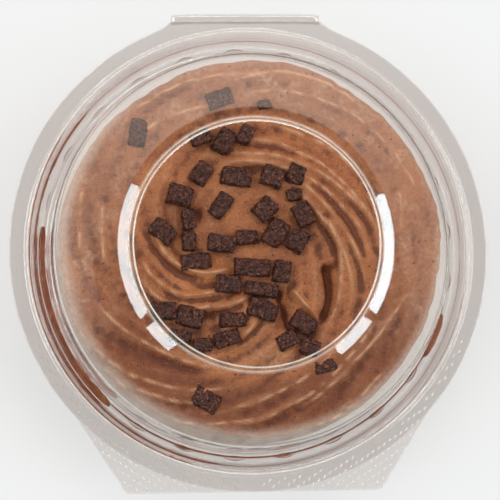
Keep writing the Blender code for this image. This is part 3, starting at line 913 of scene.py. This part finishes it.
def make_mousse(look):
    columns = 660
    edge = 46.9
    top = list(np.concatenate([np.linspace(0.0, 44.5, 104), np.linspace(44.8, edge - 0.15, 9)]))
    line = [(radius, MOUSSE_TOP) for radius in top]
    line += [(edge + 0.02, 43.45), (edge + 0.12, 42.9), (edge + 0.05, 41.5), (edge, 38.0), (edge - 0.05, 34.0)]
    line += [(edge - 0.05, 30.0), (edge + 0.1, 27.4), (tub_inside(26.0), 26.0), (tub_inside(18.0), 18.0)]
    line += [(tub_inside(9.0), 9.0), (tub_inside(2.2), 2.2), (40.0, 0.9), (39.0, WALL - 0.1), (20.0, WALL - 0.1), (0.0, WALL - 0.1)]
    points, faces = spun(np.array(line), columns)
    made = make_object("mousse_swirl", points, faces, look, None)
    grown(
        made,
        swirl_tree(),
        look,
        {
            "Flutes": float(FLUTES),
            "Twist": TWIST / MM,
            "Sway": SWAY,
            "Sway From": SWAY_FROM,
            "Fullness": 1.1,
            "Inner Height": 0.22 * MM,
            "Outer Height": 0.17 * MM,
            "Outer Start": 30.0 * MM,
            "Outer Full": 35.0 * MM,
            "Calm Radius": 6.0 * MM,
            "Fluted Radius": 18.0 * MM,
            "Edge Radius": edge * MM,
            "Wander": 2.2,
        },
    )
    co = np.empty(len(made.data.vertices) * 3, np.float32)
    made.data.vertices.foreach_get("co", co)
    co = co.reshape(-1, 3).astype(float) / MM
    x, y, z = co.T
    radius, angle = np.hypot(x, y), np.arctan2(y, x)
    on_top = z > MOUSSE_TOP - 1.0
    flat = np.column_stack([x, y])
    warp = 0.5 * rough(flat, 9.0, 3.1), 0.5 * rough(flat, 9.0, 7.7)
    ridges, painted_crest_highlight = ridge_field(x + warp[0], y + warp[1])
    out = np.clip(radius / 30.0, 0, 1)
    level = 44.4 - 0.7 * out**2 + (MOUSSE_TOP - 0.35 - 43.7) * smooth(30.0, 35.0, radius)
    ring = 1 - 0.35 * smooth(30.0, 35.0, radius)
    lumps = 0.3 * rough(flat, 6.0, 1.3) + 0.16 * rough(flat, 2.2, 5.9) + 0.07 * rough(flat, 0.9, 8.2)
    for px, py, high, wide in DOLLOPS:
        lumps += high * np.exp(-((x - px) ** 2 + (y - py) ** 2) / (wide / 1.6) ** 2)
    rim = smooth(edge - 0.2, edge - 2.6, radius)
    lift = (z - MOUSSE_TOP) + (level - MOUSSE_TOP) + (ridges * ring + lumps) * rim
    free = smooth(41.0, 46.0, radius) * (z > 27.0)
    wander = edge_shift(angle) + 0.35 * rough(np.column_stack([47 * np.cos(angle), 47 * np.sin(angle)]), 2.6, 4.4)
    grow = 1 + free * wander / np.maximum(radius, 1.0)
    new = np.column_stack([x * grow, y * grow, np.where(on_top, MOUSSE_TOP + lift, z)])
    near_rim = (~on_top) & (z > 30)
    new[near_rim, 2] -= 0.3
    limit = np.where(radius < 31.0, 47.4, 44.35)
    new[:, 2] = np.minimum(new[:, 2], limit)
    made.data.vertices.foreach_set("co", (new * MM).astype(np.float32).ravel())
    made.data.update()
    # How far each top point lies below its surroundings: it places painted shade in hollows and painted highlight on
    # raised parts.
    smoothed = neighbour_mean(new[:, 2], columns, len(top))
    painted_relief_shade = np.full(len(new), 0.5)
    count = len(smoothed)
    painted_relief_shade[:count] = np.clip(0.5 + (smoothed - new[:count, 2]) * 1.5, 0.0, 1.0)
    # Smeared pale foam plus painted reflection of the lamps in the lid, fainter at the front left.
    smear_and_painted_veil = smear_and_veil_share(x, y, radius, angle, flat)
    # Painted shade on the outer ring, strongest at the front.
    lower = np.degrees(np.mod(angle, TURN))
    front = smooth(185.0, 215.0, lower) * smooth(355.0, 330.0, lower)
    painted_outer_shade = smooth(31.0, 36.0, radius) * (0.3 + 0.7 * front)
    broken = smooth(-0.35, 0.3, rough(flat, 2.6, 9.1))
    for label, values in (("smear_and_painted_veil", smear_and_painted_veil), ("painted_relief_shade", painted_relief_shade), ("painted_crest_highlight", painted_crest_highlight * on_top * broken), ("painted_outer_shade", painted_outer_shade)):
        field = made.data.attributes.new(label, "FLOAT", "POINT")
        field.data.foreach_set("value", values.astype(np.float32))
    settle(made, "cup", ("mousse",))
    return made


def neighbour_mean(height, columns, rings):
    """The height around each point of the top, averaged over a few millimetres."""
    grid = height[1 : 1 + columns * (rings - 1)].reshape(rings - 1, columns)
    total = np.zeros_like(grid)
    weight = 0.0
    for shift in (-5, -3, -1, 1, 3, 5):
        padded = np.pad(grid, ((5, 5), (0, 0)), mode="edge")
        total += padded[5 + shift : 5 + shift + grid.shape[0]]
        weight += 1.0
    for ring in range(grid.shape[0]):
        reach = max(1, round(1.6 * columns / (TURN * (0.43 * ring + 1.0))))
        if reach < columns // 2:
            total[ring] += np.roll(grid[ring], reach) + np.roll(grid[ring], -reach)
            total[ring] += np.roll(grid[ring], reach // 2) + np.roll(grid[ring], -(reach // 2))
        else:
            total[ring] += 4 * grid[ring].mean()
    mean = total / (weight + 4)
    return np.concatenate([[height[0]], mean.ravel()])


def smear_and_veil_share(x, y, radius, angle, flat):
    """Where foam was smeared and dried pale against the lid, with a painted reflection of the lamps in the lid laid
    over the same ring: blotches all round but for the front left, a paler band at the edge and a pale lobe at the
    front.
    """
    blotches = smooth(-0.1, 0.9, 1.3 * rough(flat, 4.0, 11.3) + 0.8 * rough(flat, 1.3, 2.9))
    lower = np.degrees(np.mod(angle, TURN))
    front = smooth(190.0, 215.0, lower) * smooth(345.0, 300.0, lower)
    share = smooth(33.0, 36.5, radius) * (1 - 0.85 * front) * (0.12 + 0.6 * blotches)
    rim = 0.5 * smooth(43.5, 46.5, radius)
    lobe = 0.5 * np.exp(-(((x - 4.0) / 6.5) ** 2 + ((y + 27.0) / 3.5) ** 2))
    return np.clip(np.maximum(share, rim) + lobe, 0.0, 1.0)


def make_smears_and_refraction_lines(look):
    """Mousse caught in the seal: a long smear on the left and a short one on the right. The thin lines along the seal
    and round the lugs are painted refraction: brown films standing in for the mousse seen bent through the seal's
    walls."""
    points, faces = [], []
    add_patch(points, faces, (172.0, 227.0), 51.85, 1.5, 31.1, 120)
    add_patch(points, faces, (329.0, 342.0), 51.6, 1.1, 31.1, 60)
    # Painted refraction from here on: thin brown films that stand in for the mousse seen bent through the seal's walls,
    # along the seal and round the lugs.
    add_patch(points, faces, (226.0, 345.0), 51.25, 0.2, 30.6, 240)
    add_patch(points, faces, (0.0, 359.5), 53.6, 0.07, 33.6, 400)
    add_patch(points, faces, (138.0, 262.0), 53.55, 0.28, 33.3, 240)
    add_patch(points, faces, (146.0, 255.0), 55.0, 0.16, 36.15, 240)
    add_patch(points, faces, (300.0, 352.0), 55.0, 0.08, 36.15, 160)
    # Painted refraction round each lug.
    for lug in range(LUGS):
        middle = FIRST_LUG + lug * 360.0 / LUGS
        ends = (middle - 3.2, middle + 3.2)
        front = 226 < middle < 346
        add_patch(points, faces, ends, 51.3, 0.17 if front else 0.1, 29.5, 24, 0.85)
        add_patch(points, faces, ends, 51.2, 0.15 if front else 0.08, 29.3, 24, -0.2)
        if front and lug % 2:
            add_patch(points, faces, (middle - 2.2, middle + 1.8), 51.5, 0.3, 29.3, 24)
    return make_object("mousse_smears_and_painted_refraction", points, faces, look, "cup", ())


def add_patch(points, faces, ends, radius, half_width, level, columns, bulge=0.0):
    """A thin film along an arc, whose ends taper off and whose middle may bulge outwards."""
    start = len(points)
    rows = 9
    span = ends[1] - ends[0]
    for column in range(columns + 1):
        share = column / columns
        angle = math.radians(ends[0] + span * share)
        taper = min(1.0, 0.25 * span * share + 0.04, 0.25 * span * (1 - share) + 0.04)
        half = half_width * math.sqrt(taper)
        half *= 1 + 0.35 * noise.noise(Vector((angle * 25, level, 0.3)))
        middle = radius + bulge * (1 - (2 * share - 1) ** 2)
        for side in (1, -1):
            for row in range(rows):
                across = -1 + 2 * row / (rows - 1)
                out = middle + half * across * side
                lift = min(0.11, half) * math.sqrt(max(0.0, 1 - across**2)) * side
                points.append((out * math.cos(angle), out * math.sin(angle), level + lift))
    loop = 2 * rows
    for column in range(columns):
        for i in range(loop):
            j = (i + 1) % loop
            a, b = start + column * loop, start + (column + 1) * loop
            faces.append([a + i, a + j, b + j, b + i])
    for base in (start, start + columns * loop):
        faces.append([base + i for i in range(loop)])


def make_pieces(look):
    """Each block of chocolate, from its plain solid: rounded, crumbly and pitted."""
    for name in sorted(frame["nodes"]):
        if not name.startswith("chocolate_"):
            continue
        source = frame["nodes"][name]
        made = bpy.data.objects.new(name.replace("chocolate", "dark_block"), source.data.copy())
        bpy.context.scene.collection.objects.link(made)
        made.data.materials.clear()
        made.data.materials.append(look)
        remesh = made.modifiers.new("even", "REMESH")
        remesh.mode = "VOXEL"
        remesh.voxel_size = 0.24 * MM
        rounding = made.modifiers.new("rounded", "SMOOTH")
        rounding.factor = 0.5
        rounding.iterations = 2
        graph = bpy.context.evaluated_depsgraph_get()
        mesh = bpy.data.meshes.new_from_object(made.evaluated_get(graph))
        made.modifiers.clear()
        made.data = mesh
        seed = float(name[-2:]) * 3.7
        middle = sum((point.co for point in mesh.vertices), Vector()) / len(mesh.vertices)
        for point in mesh.vertices:
            point.co.xy += (point.co.xy - middle.xy) * 0.1
            place = point.co / MM
            bulk = noise.noise(place / 3.2 + Vector((seed, seed, 0)))
            coarse = noise.noise(place / 1.5 + Vector((seed, 0, 0)))
            fine = noise.noise(place / 0.55 + Vector((0, seed, 0)))
            pit = max(0.0, noise.noise(place / 0.9 + Vector((0, 0, seed))) - 0.25)
            point.co += point.normal * (0.16 + 0.4 * bulk + 0.3 * coarse + 0.2 * fine - 0.6 * pit) * MM
        mesh.shade_smooth()
        settle(made, "cup", (name,))


def softbox(name, where, size, brightness, lean=0.0, colour="#ffffff"):
    """A lamp with an even face of this brightness, aimed at the cup and turned in its own plane."""
    data = bpy.data.lights.new(name, "AREA")
    data.shape = "RECTANGLE"
    data.size, data.size_y = size
    data.energy = brightness * math.pi * size[0] * size[1]
    data.color = linear(colour)[:3]
    made = bpy.data.objects.new(name, data)
    bpy.context.scene.collection.objects.link(made)
    place = around(*where)
    aim = (place - Vector((0, 0, 0.045))).to_track_quat("Z", "Y").to_matrix()
    turn = Matrix.Rotation(math.radians(lean), 3, "Z")
    made.matrix_world = Matrix.Translation(place) @ (aim @ turn).to_4x4()
    made.visible_camera = False


def around(azimuth, elevation, distance):
    turn, rise = math.radians(azimuth), math.radians(elevation)
    return Vector((math.cos(turn) * math.cos(rise), math.sin(turn) * math.cos(rise), math.sin(rise))) * distance


def studio_walls():
    """A dark room with pale lower walls, brightest behind the cup and dark in front of it."""
    world = bpy.data.worlds.new("studio")
    world.use_nodes = True
    tree = world.node_tree
    toward = add(tree, "ShaderNodeTexCoord").outputs["Generated"]
    parts = add(tree, "ShaderNodeSeparateXYZ", {0: toward}).outputs
    slanted = calc(tree, "MULTIPLY_ADD", parts["X"], 0.09, parts["Z"])
    low = between(tree, slanted, 0.56, 0.5)
    behind = between(tree, parts["Y"], -0.5, -0.05, 0.0, 0.6)
    middle = between(tree, parts["Y"], 0.3, 0.95, 0.0, 0.8)
    wall = calc(tree, "MULTIPLY", low, calc(tree, "ADD", behind, middle))
    brightness = calc(tree, "ADD", wall, 0.05)
    background = tree.nodes["Background"]
    background.inputs["Color"].default_value = linear("#f6ede3")
    tree.links.new(brightness, background.inputs["Strength"])
    return world


def make_studio():
    floor = bpy.data.meshes.new("floor")
    floor.from_pydata([(-3, -3, 0), (3, -3, 0), (3, 3, 0), (-3, 3, 0)], [], [[0, 1, 2, 3]])
    floor.materials.append(floor_look("frosted light table"))
    ground = bpy.data.objects.new("floor", floor)
    ground.location = (0, 0, -0.0004)
    bpy.context.scene.collection.objects.link(ground)
    softbox("left_softbox", (174, 49.8, 1.0), (0.8, 0.16), 7.6, 8, COOL)
    softbox("right_softbox", (3, 36.8, 1.0), (0.66, 0.16), 10.5, -8, COOL)
    softbox("left_front_softbox", (223, 50.5, 1.0), (0.2, 0.12), 7.6, 0.0, COOL)
    softbox("right_front_softbox", (-33, 41.5, 1.0), (0.24, 0.12), 8.5, 0.0, COOL)
    for azimuth, brightness in ((180, 8.0), (0, 6.0), (90, 8.0), (270, 2.5)):
        softbox(f"upper_softbox_{azimuth}", (azimuth, 66, 1.0), (0.5, 0.18), brightness)
    bpy.context.scene.world = studio_walls()
    bpy.context.scene.view_settings.view_transform = "Standard"


def make_camera():
    """Nearly overhead, from the left front, with the pack's back at the top of the view."""
    data = bpy.data.cameras.new("camera")
    data.sensor_width = 36.0
    distance = 0.8
    data.lens = data.sensor_width / 2 * distance / (62.5 * MM)
    made = bpy.data.objects.new("camera", data)
    bpy.context.scene.collection.objects.link(made)
    toward = around(225.2, 81.5, 1.0)
    back = toward.normalized()
    roll = math.radians(1.15)
    up = Vector((math.sin(roll), math.cos(roll), 0.0))
    right = up.cross(back).normalized()
    up = back.cross(right)
    middle = Vector((0, 0, 0.036)) + right * 0.0001 + up * 0.00035
    rotation = Matrix((right, up, back)).transposed()
    made.matrix_world = Matrix.Translation(middle + back * distance) @ rotation.to_4x4()
    bpy.context.scene.camera = made


def main():
    pet = clear_sheet("thermoformed PET")
    mousse = mousse_look("whipped chocolate mousse")
    make_lid(pet)
    make_tub(pet)
    make_hinge(pet)
    tree = pip_tree()
    shared = {
        "Pitch": 1.7 * MM,
        "Pip Length": 1.15 * MM,
        "Pip Width": 0.42 * MM,
        "Pip Height": 0.34 * MM,
        "Inner Radius": 57.3 * MM,
        "Front Distance": 59.2 * MM,
        "Side Distance": 58.3 * MM,
        "Side Angle": TAB_SIDE_TURN,
    }
    make_pips(
        "lid_grip_pips",
        tree,
        pet,
        "lid",
        **shared,
        **{"Row Angle": math.radians(33.0), "Pip Angle": math.radians(60.0), "Side": 1.0, "Level": LID_FLANGE_TOP * MM},
    )
    make_pips(
        "tub_grip_pips",
        tree,
        pet,
        "cup",
        **shared,
        **{"Row Angle": math.radians(-33.0), "Pip Angle": math.radians(115.0), "Side": -1.0, "Level": (TUB_FLANGE_UNDER + WALL) * MM},
    )
    make_mousse(mousse)
    make_smears_and_refraction_lines(smear_and_refraction_look("wet mousse film and painted refraction"))
    make_pieces(chocolate_look("soft dark chocolate"))
    make_studio()
    make_camera()


main()
